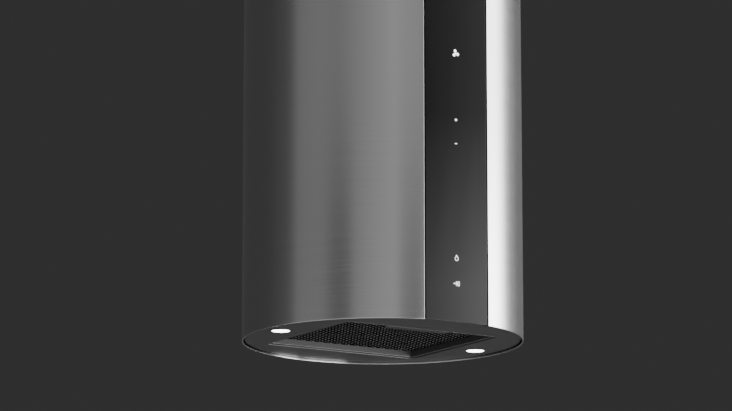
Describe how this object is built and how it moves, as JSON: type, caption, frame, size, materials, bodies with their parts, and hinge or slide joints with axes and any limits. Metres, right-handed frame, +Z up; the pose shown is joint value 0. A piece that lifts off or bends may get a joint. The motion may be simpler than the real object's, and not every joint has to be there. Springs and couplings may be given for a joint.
{
  "type": "island range hood",
  "caption": "Round island range hood with a telescopic ceiling frame, a flat control glass, two lamps and a tilting grease filter.",
  "frame": {"origin": "centre of the ceiling plate's upper face, on the axis of the round body", "axes": "+Z up into the ceiling, -Y to the front where the control glass is, +X to the right as seen from the front"},
  "size_m": [0.39, 0.3835, 0.9],
  "materials": {
    "steel_brushed": "vertical satin brushing",
    "steel_plate": "satin, darker underside plate",
    "steel_frame": "galvanised",
    "steel_galvanised": "galvanised",
    "screw_steel": "zinc plated",
    "control_glass": "black polished",
    "plastic_black": "fine texture",
    "rubber_black": "matt",
    "circuit_board": "lacquered board",
    "sign_white": "printed",
    "lamp_diffuser": "frosted",
    "aluminium_cast": "cast",
    "aluminium_mesh": "expanded layers",
    "filter_black": "black enamel",
    "plastic_white": "moulded"
  },
  "bodies": {
    "ceiling_frame": {"ceiling_plate": "steel_frame", "upper_upright_1": "steel_frame", "upper_upright_2": "steel_frame", "upper_upright_3": "steel_frame", "upper_upright_4": "steel_frame", "upper_cover": "steel_brushed", "cover_brackets": "steel_frame", "cover_screws": "screw_steel", "frame_screws": "screw_steel"},
    "impeller_wheel": {"impeller": "plastic_black", "motor_shaft": "screw_steel"},
    "damper_front": {"damper_flap_front": "plastic_black"},
    "damper_rear": {"damper_flap_rear": "plastic_black"},
    "grease_filter": {"filter_frame": "filter_black", "filter_face": "filter_black", "filter_mesh": "aluminium_mesh"},
    "filter_latch": {"latch_slider": "steel_plate"},
    "hood_body": {"lower_shell": "steel_brushed", "top_ring": "steel_brushed", "glass_panel": "control_glass", "glass_carrier": "plastic_black", "glass_gasket": "rubber_black", "touch_board": "circuit_board", "touch_icons": "sign_white", "bottom_plate": "steel_plate", "panel_screws": "screw_steel", "chassis_base": "steel_frame", "body_strut_1": "steel_frame", "body_strut_2": "steel_frame", "body_strut_3": "steel_frame", "body_strut_4": "steel_frame", "deck_plate": "steel_frame", "lower_upright_1": "steel_frame", "lower_upright_2": "steel_frame", "lower_upright_3": "steel_frame", "lower_upright_4": "steel_frame", "foot_screws": "screw_steel", "clamp_bolts": "screw_steel", "clamp_nuts": "screw_steel", "lamp_bezel_left": "plastic_black", "lamp_bezel_right": "plastic_black", "lamp_lens_left": "lamp_diffuser", "lamp_lens_right": "lamp_diffuser", "lamp_housings": "aluminium_cast", "led_driver": "plastic_white", "blower_scroll": "steel_galvanised", "scroll_side_left": "steel_galvanised", "scroll_side_right": "steel_galvanised", "inlet_guards": "plastic_black", "motor_can": "aluminium_cast", "motor_bracket": "steel_frame", "rubber_mounts": "rubber_black", "blower_bolts": "screw_steel", "outlet_collar": "plastic_black", "damper_pin": "screw_steel", "control_box": "steel_galvanised", "control_lid": "steel_galvanised", "control_board": "circuit_board", "run_capacitor": "plastic_white", "cable_gland": "plastic_black"}
  },
  "joints": [
    {"name": "height_adjust", "type": "slide", "parent": "ceiling_frame", "child": "hood_body", "axis": [0, 0, -1], "range_m": [0, 0.18]},
    {"name": "filter_tilt", "type": "hinge", "parent": "hood_body", "child": "grease_filter", "pos_m": [0, 0.1, -0.884], "axis": [1, 0, 0], "range_deg": [0, 60]},
    {"name": "latch_slide", "type": "slide", "parent": "grease_filter", "child": "filter_latch", "axis": [0, 1, 0], "range_m": [0, 0.005], "stiffness_N_per_m": 300, "springref_m": -0.003},
    {"name": "impeller_spin", "type": "hinge", "parent": "hood_body", "child": "impeller_wheel", "pos_m": [0, -0.042, -0.681], "axis": [1, 0, 0], "continuous": true},
    {"name": "damper_front_swing", "type": "hinge", "parent": "hood_body", "child": "damper_front", "pos_m": [0, 0, -0.505], "axis": [-1, 0, 0], "range_deg": [0, 75]},
    {"name": "damper_rear_swing", "type": "hinge", "parent": "hood_body", "child": "damper_rear", "pos_m": [0, 0, -0.505], "axis": [1, 0, 0], "range_deg": [0, 75]}
  ]
}
